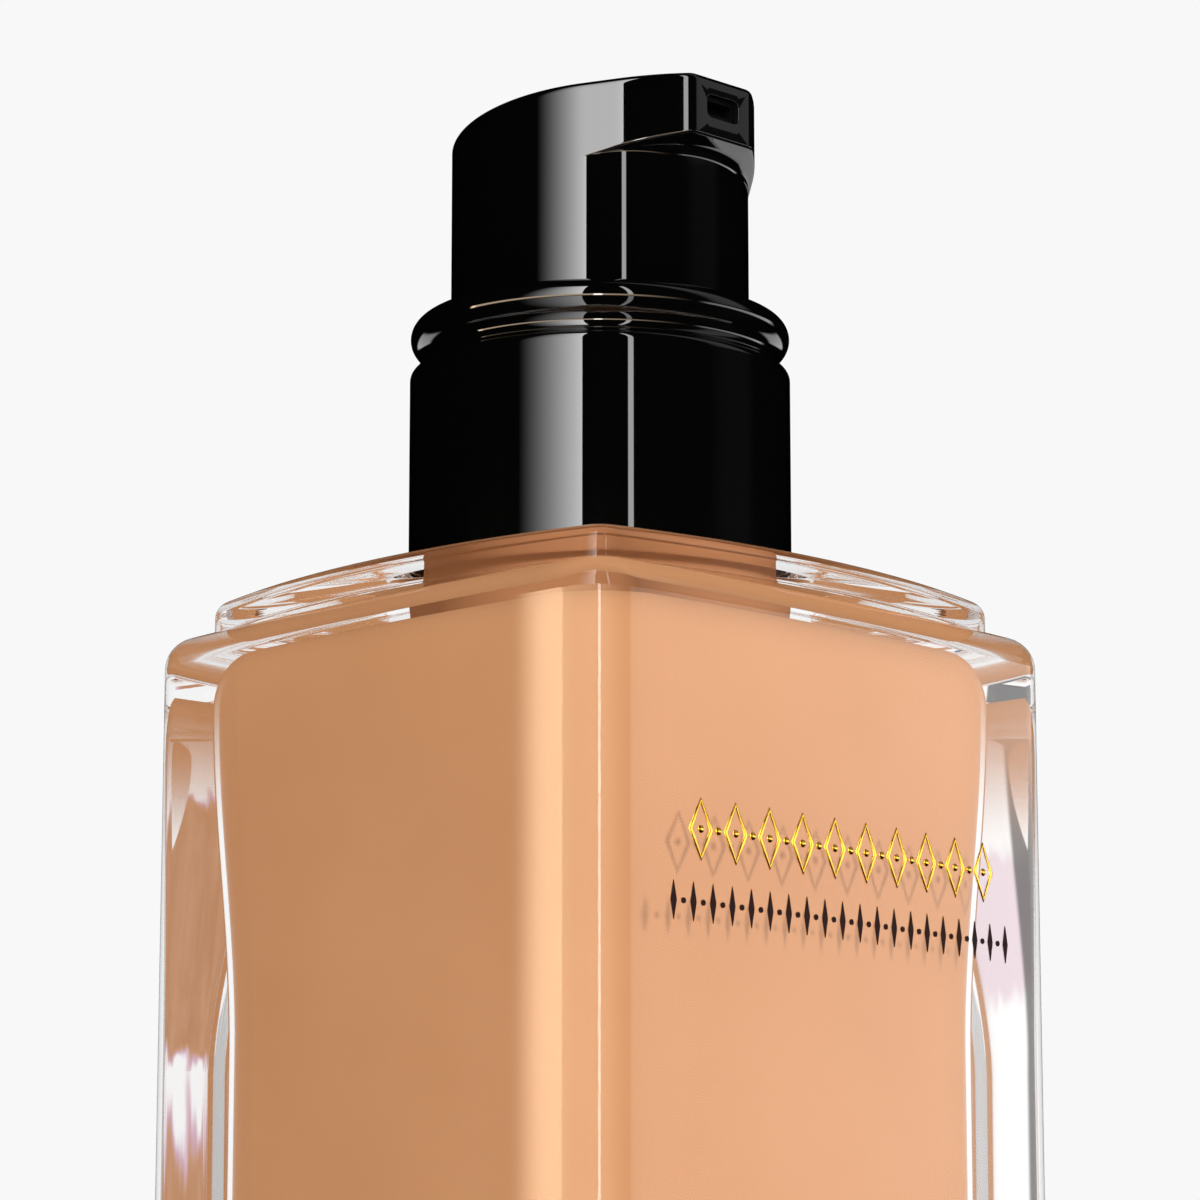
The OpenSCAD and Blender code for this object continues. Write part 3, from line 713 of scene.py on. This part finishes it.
def under_z(p):
    """Height of the spout's underside over a point."""
    return pad_z + SPOUT_UNDER + (leave.y - p.y) * UNDER_RISE


def top_z(p):
    """Height of the button's sloping top over a point."""
    return pad_z + BUTTON_TOP - p.y * TOP_RISE


def at(p, z):
    """A point moved to a height."""
    return Vector((p.x, p.y, z))


shell_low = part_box("actuator_shell")[0].z
inner = [Vector((c.x, c.y, 0)) * (BARREL_INNER_R / BUTTON_R) for c, _, _ in columns]
rings = [
    [at(p, top_z(p) - CEILING_T) for p in inner],
    [at(p, shell_low + MOUTH_EDGE) for p in inner],
    [at(p * (1 + MOUTH_EDGE / BARREL_INNER_R), shell_low) for p in inner],
    [at(c * (1 - MOUTH_EDGE / BUTTON_R), shell_low) for c, _, _ in columns],
    [at(c, shell_low + MOUTH_EDGE) for c, _, _ in columns],
]
# hollow rounding where the spout leaves the barrel, kept under 0.4 of the spout's reach
for a in quarter_turn(ROUND_STEPS):
    ring = []
    for c, h, _ in columns:
        out_by = h - c
        root = min(UNDER_ROOT_R, 0.4 * out_by.length)
        p = c + (out_by.normalized() * root * (1 - math.cos(a)) if root > 0 else Vector())
        ring.append(at(p, under_z(p) - root * (1 - math.sin(a))))
    rings.append(ring)
# rounding of the spout's lower edge
for a in quarter_turn(ROUND_STEPS):
    ring = []
    for c, h, m in columns:
        edge = min(LOWER_EDGE_R, 0.4 * (h - c).length)
        p = h - m * edge * (1 - math.sin(a))
        ring.append(at(p, under_z(p) + edge * (1 - math.cos(a))))
    rings.append(ring)
rings = held(rings)
face_low = len(rings) - 1
top_rings = []
for a in quarter_turn(TOP_EDGE_STEPS):
    ring = []
    for _, h, m in columns:
        p = h - m * TOP_EDGE_R * (1 - math.cos(a))
        ring.append(at(p, top_z(p) - TOP_EDGE_R * (1 - math.sin(a))))
    top_rings.append(ring)
rings = rings[:-1] + held([rings[-1], top_rings[0]]) + top_rings[1:]
face_high = len(rings) - len(top_rings)

maker = bmesh.new()
rows = [[maker.verts.new(p) for p in ring] for ring in rings]
count = len(columns)
face_columns = set(range(FACE_STEPS)) | {count - i for i in range(1, FACE_STEPS + 1)}
for k, (low, high) in enumerate(zip(rows, rows[1:])):
    for i in range(count):
        if face_low <= k < face_high and i in face_columns:
            continue    # the nozzle's face is filled round its slot, below
        j = (i + 1) % count
        maker.faces.new((low[i], low[j], high[j], high[i]))
for row, drop in ((rows[0], CEILING_T), (rows[-1], 0)):
    pole = maker.verts.new(at(Vector(), top_z(Vector()) - drop))
    for i in range(count):
        maker.faces.new((row[i], row[(i + 1) % count], pole))


def slot_loop(grow, back):
    """Round-cornered slot outline, grown by a distance, at a depth behind the nozzle's face."""
    w, h, r = SLOT_W / 2 + grow, SLOT_H / 2 + grow, SLOT_ROUND_R + grow
    points = []
    for quarter, (sx, sz) in enumerate(((1, 1), (-1, 1), (-1, -1), (1, -1))):
        start = 90 * quarter
        for x, z in arc(sx * (w - r), sz * (h - r), r, start, start + 90, ROUND_STEPS):
            points.append(maker.verts.new((x, back - spout_reach, pad_z + SLOT_UP + z)))
    return points


slot_rows = [
    slot_loop(SLOT_RIM_R * (1 - math.sin(a)), SLOT_RIM_R * (1 - math.cos(a)))
    for a in quarter_turn(ROUND_STEPS)
]
slot_rows.append(slot_loop(0, SLOT_DEPTH))
slot_count = len(slot_rows[0])
slot_verts = {vert for row in slot_rows[ROUND_STEPS:] for vert in row}
for low, high in zip(slot_rows, slot_rows[1:]):
    for i in range(slot_count):
        j = (i + 1) % slot_count
        maker.faces.new((low[i], low[j], high[j], high[i]))
maker.faces.new(slot_rows[-1])
for face in maker.faces:
    if all(vert in slot_verts for vert in face.verts):
        face.material_index = 1

# the nozzle's flat face, filled between its own border and the slot's rim
slot_rim = slot_rows[0]
rim_edges = {
    maker.edges.get((slot_rim[i], slot_rim[(i + 1) % slot_count])) for i in range(slot_count)
}
span = [i % count for i in range(-FACE_STEPS, FACE_STEPS + 1)]
border = [rows[face_low][i] for i in span]
border += [row[span[-1]] for row in rows[face_low + 1 : face_high]]
border += [rows[face_high][i] for i in span[::-1]]
border += [row[span[0]] for row in rows[face_high - 1 : face_low : -1]]
for i in range(len(border)):
    pair = (border[i], border[(i + 1) % len(border)])
    rim_edges.add(maker.edges.get(pair) or maker.edges.new(pair))
bmesh.ops.triangle_fill(maker, use_beauty=True, edges=list(rim_edges), normal=(0, -1, 0))
button_shell = finished("button_shell", maker, 30)
button_shell.data.materials.append(piano_black)

# spark-eroded wall of the slot, too rough to mirror anything
matt_black, tree, shader, _ = material("spark_eroded_black_abs")
shader.inputs["Base Color"].default_value = JET
shader.inputs["Specular IOR Level"].default_value = 0.1
place = add(tree, "ShaderNodeTexCoord").outputs["Object"]
pits = add(tree, "ShaderNodeTexNoise", {"Vector": place, "Scale": 6000, "Detail": 4}).outputs[0]
pit_range = add(tree, "ShaderNodeMapRange", {"Value": pits, "To Min": 0.5, "To Max": 0.9})
tree.links.new(pit_range.outputs[0], shader.inputs["Roughness"])
bump = add(tree, "ShaderNodeBump", {"Height": pits, "Strength": 0.3, "Distance": 0.02 * MM})
tree.links.new(bump.outputs[0], shader.inputs["Normal"])
button_shell.data.materials.append(matt_black)
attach(button_shell, "button")
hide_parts("actuator_shell")


# ---- Printed ornament ----
# Two lines on the label face: raised lozenges and dots in hot-stamped gold foil, and below them slim
# lozenges and dots in screen-printed dark ink. Both follow the curve of the glass.
def geometry_group(name, sizes):
    """A Geometry Nodes group with one number for each size, and its input and output nodes."""
    group = bpy.data.node_groups.new(name, "GeometryNodeTree")
    kinds = {int: "NodeSocketInt", float: "NodeSocketFloat"}
    for size_name, value in sizes.items():
        group.interface.new_socket(name=size_name, in_out="INPUT", socket_type=kinds[type(value)])
    group.interface.new_socket(name="Finish", in_out="INPUT", socket_type="NodeSocketMaterial")
    group.interface.new_socket(name="Geometry", in_out="OUTPUT", socket_type="NodeSocketGeometry")
    return group, add(group, "NodeGroupInput").outputs, add(group, "NodeGroupOutput")


def grown(name, group, sizes, finish):
    """The mesh that a Geometry Nodes group makes from its sizes, as an object without a modifier."""
    made = bpy.data.objects.new(name, bpy.data.meshes.new(name + "_seed"))
    scene.collection.objects.link(made)
    modifier = made.modifiers.new("grow", "NODES")
    modifier.node_group = group
    values = dict(sizes, Finish=finish)
    for item in group.interface.items_tree:
        if item.in_out == "INPUT":
            modifier[item.identifier] = values[item.name]
    scene.view_layers[0].update()
    evaluated = made.evaluated_get(bpy.context.evaluated_depsgraph_get())
    mesh = bpy.data.meshes.new_from_object(evaluated)
    made.modifiers.clear()
    made.data = mesh
    mesh.name = name
    return made


def row_of(group, count, pitch):
    """Points in a row along X, centred on the middle."""
    gaps = compute(group, "SUBTRACT", count, 1)
    start = compute(group, "MULTIPLY", gaps, compute(group, "MULTIPLY", pitch, -0.5))
    first = add(group, "ShaderNodeCombineXYZ", {0: start}).outputs[0]
    step = add(group, "ShaderNodeCombineXYZ", {0: pitch}).outputs[0]
    line = {"Count": count, "Start Location": first, "Offset": step}
    return add(group, "GeometryNodeMeshLine", line).outputs[0]


def onto_face(group, parts, sizes_in, flatten):
    """Joins the parts, thins them, bends them round the label face and gives them the finish."""
    joined = add(group, "GeometryNodeJoinGeometry")
    for part in parts[::-1]:
        group.links.new(part, joined.inputs[0])
    whole = add(group, "GeometryNodeRealizeInstances", {0: joined.outputs[0]}).outputs[0]
    flat_place = add(group, "GeometryNodeInputPosition").outputs[0]
    x, y, z = add(group, "ShaderNodeSeparateXYZ", {0: flat_place}).outputs
    out_by = compute(group, "MULTIPLY_ADD", z, flatten, sizes_in["Lift"])
    reach = compute(group, "ADD", sizes_in["Face Radius"], out_by)
    turned_by = compute(group, "DIVIDE", x, sizes_in["Face Radius"])
    across = compute(group, "MULTIPLY", compute(group, "SINE", turned_by), reach)
    depth = compute(group, "MULTIPLY", compute(group, "COSINE", turned_by), reach)
    depth = compute(group, "SUBTRACT", sizes_in["Face Centre"], depth)
    up = compute(group, "ADD", y, sizes_in["Level"])
    placed = add(group, "ShaderNodeCombineXYZ", {0: across, 1: depth, 2: up}).outputs[0]
    bent = add(group, "GeometryNodeSetPosition", {"Geometry": whole, "Position": placed}).outputs[0]
    return clad(group, bent, sizes_in["Finish"])


def clad(group, geometry, finish):
    """The geometry with its material set."""
    settings = {"Geometry": geometry, "Material": finish}
    return add(group, "GeometryNodeSetMaterial", settings).outputs[0]


def middle_z(node_name):
    """Height of the middle of a CAD node."""
    low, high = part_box(node_name)
    return (low.z + high.z) / 2


face_centre_y = BODY_SIDE_R - body_w / 2
foil_sizes = {
    "Count": 10,
    "Pitch": 2.54 * MM,
    "Width": 1.5 * MM,
    "Height": 3.1 * MM,
    "Stroke": 0.3 * MM,
    "Dot Radius": 0.22 * MM,
    "Thickness": 0.1 * MM,
    "Lift": 0.03 * MM,
    "Face Radius": BODY_SIDE_R,
    "Face Centre": face_centre_y,
    "Level": middle_z("front_foil_print"),
}
group, sizes_in, result = geometry_group("foil_row", foil_sizes)
half_w, half_h = (compute(group, "MULTIPLY", sizes_in[n], 0.5) for n in ("Width", "Height"))
outline = add(group, "GeometryNodeCurvePrimitiveCircle", {"Resolution": 4, "Radius": 1}).outputs[0]
halves = add(group, "ShaderNodeCombineXYZ", {0: half_w, 1: half_h, 2: 1}).outputs[0]
outline = add(group, "GeometryNodeTransform", {"Geometry": outline, "Scale": halves}).outputs[0]
half_stroke = compute(group, "MULTIPLY", sizes_in["Stroke"], 0.5)
section = add(
    group, "GeometryNodeCurvePrimitiveCircle", {"Resolution": 12, "Radius": half_stroke}
).outputs[0]
loop = add(group, "GeometryNodeCurveToMesh", {"Curve": outline, "Profile Curve": section}).outputs[0]
dot = add(
    group, "GeometryNodeMeshUVSphere", {"Segments": 20, "Rings": 10, "Radius": sizes_in["Dot Radius"]}
).outputs[0]
full_row = row_of(group, sizes_in["Count"], sizes_in["Pitch"])
between = row_of(group, compute(group, "SUBTRACT", sizes_in["Count"], 1), sizes_in["Pitch"])
parts = [
    add(group, "GeometryNodeInstanceOnPoints", {"Points": points, "Instance": what}).outputs[0]
    for points, what in ((full_row, loop), (full_row, dot), (between, dot))
]
flatten = compute(group, "DIVIDE", sizes_in["Thickness"], sizes_in["Stroke"])
group.links.new(onto_face(group, parts, sizes_in, flatten), result.inputs[0])

# gold foil: warm mirror metal, softened by the slight pebble of the stamp
gold, tree, shader, _ = material("hot_stamped_gold_foil")
shader.inputs["Metallic"].default_value = 1
shader.inputs["Roughness"].default_value = 0.22
place = add(tree, "ShaderNodeTexCoord").outputs["Object"]
pebble = add(tree, "ShaderNodeTexNoise", {"Vector": place, "Scale": 4000, "Detail": 3})
shade = add(
    tree,
    "ShaderNodeMix",
    {0: pebble.outputs[0], 6: linear("#E9AE36"), 7: linear("#FFD25A")},
    data_type="RGBA",
)
tree.links.new(shade.outputs[2], shader.inputs["Base Color"])
bump = add(
    tree, "ShaderNodeBump", {"Height": pebble.outputs[0], "Strength": 0.15, "Distance": 0.01 * MM}
)
tree.links.new(bump.outputs[0], shader.inputs["Normal"])
foil = grown("gold_foil_row", group, foil_sizes, gold)
foil.data.shade_smooth()
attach(foil, "bottle")
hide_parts("front_foil_print")

ink_sizes = {
    "Count": 20,
    "Pitch": 1.41 * MM,
    "Width": 0.42 * MM,
    "Height": 2.1 * MM,
    "Dot Radius": 0.16 * MM,
    "Thickness": 0.06 * MM,
    "Lift": 0.03 * MM,
    "Face Radius": BODY_SIDE_R,
    "Face Centre": face_centre_y,
    "Level": middle_z("front_ink_print"),
}
group, sizes_in, result = geometry_group("ink_row", ink_sizes)
bar = add(group, "GeometryNodeMeshCylinder", {"Vertices": 4, "Radius": 1, "Depth": 1}).outputs[0]
disc = add(group, "GeometryNodeMeshCylinder", {"Vertices": 24, "Radius": 1, "Depth": 1}).outputs[0]
half_w, half_h = (compute(group, "MULTIPLY", sizes_in[n], 0.5) for n in ("Width", "Height"))
thick, dot_r = sizes_in["Thickness"], sizes_in["Dot Radius"]
bar_scale = add(group, "ShaderNodeCombineXYZ", {0: half_w, 1: half_h, 2: thick}).outputs[0]
disc_scale = add(group, "ShaderNodeCombineXYZ", {0: dot_r, 1: dot_r, 2: thick}).outputs[0]
full_row = row_of(group, sizes_in["Count"], sizes_in["Pitch"])
between = row_of(group, compute(group, "SUBTRACT", sizes_in["Count"], 1), sizes_in["Pitch"])
parts = [
    add(group, "GeometryNodeInstanceOnPoints", {"Points": p, "Instance": what, "Scale": scale}).outputs[0]
    for p, what, scale in ((full_row, bar, bar_scale), (between, disc, disc_scale))
]
group.links.new(onto_face(group, parts, sizes_in, 1.0), result.inputs[0])

# screen ink: near-black brown, satin, with the weave of the screen just showing
ink, tree, shader, _ = material("screen_printed_brown_ink")
place = add(tree, "ShaderNodeTexCoord").outputs["Object"]
weave = add(tree, "ShaderNodeTexNoise", {"Vector": place, "Scale": 5000, "Detail": 2})
shade = add(
    tree,
    "ShaderNodeMix",
    {0: weave.outputs[0], 6: linear("#1E0D0E"), 7: linear("#2C1516")},
    data_type="RGBA",
)
tree.links.new(shade.outputs[2], shader.inputs["Base Color"])
shader.inputs["Roughness"].default_value = 0.6
shader.inputs["Specular IOR Level"].default_value = 0.15
bump = add(
    tree, "ShaderNodeBump", {"Height": weave.outputs[0], "Strength": 0.2, "Distance": 0.01 * MM}
)
tree.links.new(bump.outputs[0], shader.inputs["Normal"])
ink_row = grown("dark_ink_row", group, ink_sizes, ink)
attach(ink_row, "bottle")
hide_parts("front_ink_print")


# ---- Return spring ----
# Round stainless wire coiled between two closed end turns, standing in the pump chamber.
spring_low, spring_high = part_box("return_spring")
WIRE_R = 0.3 * MM
STEPS_A_TURN = 40
spring_sizes = {
    "Turns": 6,
    "Coil Radius": 2.9 * MM,
    "Wire Radius": WIRE_R,
    "Low": spring_low.z + WIRE_R,
    "High": spring_high.z - WIRE_R,
    "End Lift": 2.1 * WIRE_R,
}
group, sizes_in, result = geometry_group("coil", spring_sizes)
steps = compute(group, "MULTIPLY_ADD", sizes_in["Turns"], STEPS_A_TURN, 1)
wire_line = add(group, "GeometryNodeCurvePrimitiveLine").outputs[0]
wire_line = add(group, "GeometryNodeResampleCurve", {"Curve": wire_line, "Count": steps}).outputs[0]
along = add(group, "GeometryNodeSplineParameter").outputs["Factor"]
turn_at = compute(group, "MULTIPLY", along, sizes_in["Turns"])
angle = compute(group, "MULTIPLY", turn_at, 2 * math.pi)
x = compute(group, "MULTIPLY", compute(group, "COSINE", angle), sizes_in["Coil Radius"])
y = compute(group, "MULTIPLY", compute(group, "SINE", angle), sizes_in["Coil Radius"])
# the first and last turns rise by little more than a wire, and the free ones share the rest
free_turns = compute(group, "SUBTRACT", sizes_in["Turns"], 2)
climb = compute(group, "MAXIMUM", compute(group, "SUBTRACT", turn_at, 1), 0)
climb = compute(group, "DIVIDE", compute(group, "MINIMUM", climb, free_turns), free_turns)
first_turn = compute(group, "MINIMUM", turn_at, 1)
last_turn = compute(group, "ADD", compute(group, "SUBTRACT", turn_at, sizes_in["Turns"]), 1)
last_turn = compute(group, "MAXIMUM", last_turn, 0)
span = compute(group, "SUBTRACT", sizes_in["High"], sizes_in["Low"])
span = compute(group, "SUBTRACT", span, compute(group, "MULTIPLY", sizes_in["End Lift"], 2))
z = compute(group, "MULTIPLY_ADD", climb, span, sizes_in["Low"])
z = compute(group, "MULTIPLY_ADD", compute(group, "ADD", first_turn, last_turn), sizes_in["End Lift"], z)
coil = add(group, "ShaderNodeCombineXYZ", {0: x, 1: y, 2: z}).outputs[0]
wire_line = add(group, "GeometryNodeSetPosition", {"Geometry": wire_line, "Position": coil}).outputs[0]
section = add(
    group, "GeometryNodeCurvePrimitiveCircle", {"Resolution": 12, "Radius": sizes_in["Wire Radius"]}
).outputs[0]
wire = add(
    group, "GeometryNodeCurveToMesh", {"Curve": wire_line, "Profile Curve": section, "Fill Caps": True}
).outputs[0]
group.links.new(clad(group, wire, sizes_in["Finish"]), result.inputs[0])


def grained(name, shades, roughness, grain_scale):
    """A material whose grain varies its shade and its polish, with its tree, shader and grain."""
    made, tree, shader, _ = material(name)
    place = add(tree, "ShaderNodeTexCoord").outputs["Object"]
    noise = {"Vector": place, "Scale": grain_scale, "Detail": 4}
    grain = add(tree, "ShaderNodeTexNoise", noise).outputs[0]
    ends = {0: grain, 6: linear(shades[0]), 7: linear(shades[1])}
    shade = add(tree, "ShaderNodeMix", ends, data_type="RGBA")
    tree.links.new(shade.outputs[2], shader.inputs["Base Color"])
    limits = {"Value": grain, "To Min": roughness[0], "To Max": roughness[1]}
    tree.links.new(add(tree, "ShaderNodeMapRange", limits).outputs[0], shader.inputs["Roughness"])
    return made, tree, shader, grain


def metal(name, shades, roughness, grain_scale):
    """Bare steel whose grain varies its shade and its polish a little."""
    made, _, shader, _ = grained(name, shades, roughness, grain_scale)
    shader.inputs["Metallic"].default_value = 1
    return made


# bright drawn wire, its shine broken up a little by a fine grain
drawn_wire = metal("drawn_stainless_wire", ("#B9BABC", "#D3D3D2"), (0.18, 0.34), 2500)
spring = grown("return_coil", group, spring_sizes, drawn_wire)
spring.data.shade_smooth()
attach(spring, "bottle")
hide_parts("return_spring")
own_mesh(spring)


# ---- Hidden pump parts ----
# Pieces that only show through gaps or in a cutaway keep the CAD's shapes: moulded polypropylene,
# extruded polyethylene tube, softer polyethylene seals, a polished steel ball and the foot's label.
def moulded(name, shades, roughness, grain_scale, bump_depth, see_through=0.0):
    """A matt or satin material mottled between two shades, with a fine bump of some depth."""
    made, tree, shader, grain = grained(name, shades, roughness, grain_scale)
    bump = add(tree, "ShaderNodeBump", {"Height": grain, "Strength": 0.4, "Distance": bump_depth})
    tree.links.new(bump.outputs[0], shader.inputs["Normal"])
    if see_through:
        shader.inputs["Subsurface Weight"].default_value = see_through
        shader.inputs["Subsurface Radius"].default_value = (1 * MM, 0.9 * MM, 0.8 * MM)
    return made


MOULD_GRAIN = 0.01 * MM
# waxy translucent white of natural polypropylene
natural_pp = moulded(
    "injection_moulded_polypropylene", ("#E6E5DF", "#F0EFEA"), (0.3, 0.45), 300, MOULD_GRAIN, 0.2
)
# cloudy tube, a little mottled as it left the extruder
cloudy_pe = moulded(
    "extruded_polyethylene_tube", ("#DCDDD8", "#E9EAE6"), (0.35, 0.55), 700, MOULD_GRAIN, 0.3
)
# softer and duller than the housing, so that the wiping lips read as another plastic
seal_pe = moulded("soft_polyethylene_seal", ("#D5D3CB", "#DFDDD6"), (0.5, 0.65), 500, MOULD_GRAIN)
# open cells of the gasket's cut face
foam_pe = moulded("cut_polyethylene_foam", ("#D9D6CB", "#F1EFE8"), (0.8, 0.95), 2200, 0.08 * MM)
# coated label stock with the tooth of its fibres
label_stock = moulded("coated_label_paper", ("#EDEBE6", "#F6F5F1"), (0.5, 0.7), 3000, 0.005 * MM)
# as-moulded black, without the polish of the outside
satin_black = moulded("satin_black_abs", ("#060606", "#0B0B0B"), (0.4, 0.55), 900, MOULD_GRAIN)
# ball lapped to a near mirror
bearing_steel = metal("polished_steel_ball", ("#C9CACC", "#DADADA"), (0.05, 0.1), 400)

finishes = {
    "base_label": label_stock,
    "neck_gasket": foam_pe,
    "snap_ferrule": natural_pp,
    "pump_housing": natural_pp,
    "stem_guide": natural_pp,
    "spring_seat": natural_pp,
    "inlet_ball": bearing_steel,
    "dip_tube": cloudy_pe,
    "lower_stem": natural_pp,
    "upper_stem": natural_pp,
    "piston_seal": seal_pe,
    "actuator_core": satin_black,
    "nozzle_insert": matt_black,
}
for node_name, finish in finishes.items():
    node_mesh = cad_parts[node_name].data
    node_mesh.materials.clear()
    node_mesh.materials.append(finish)
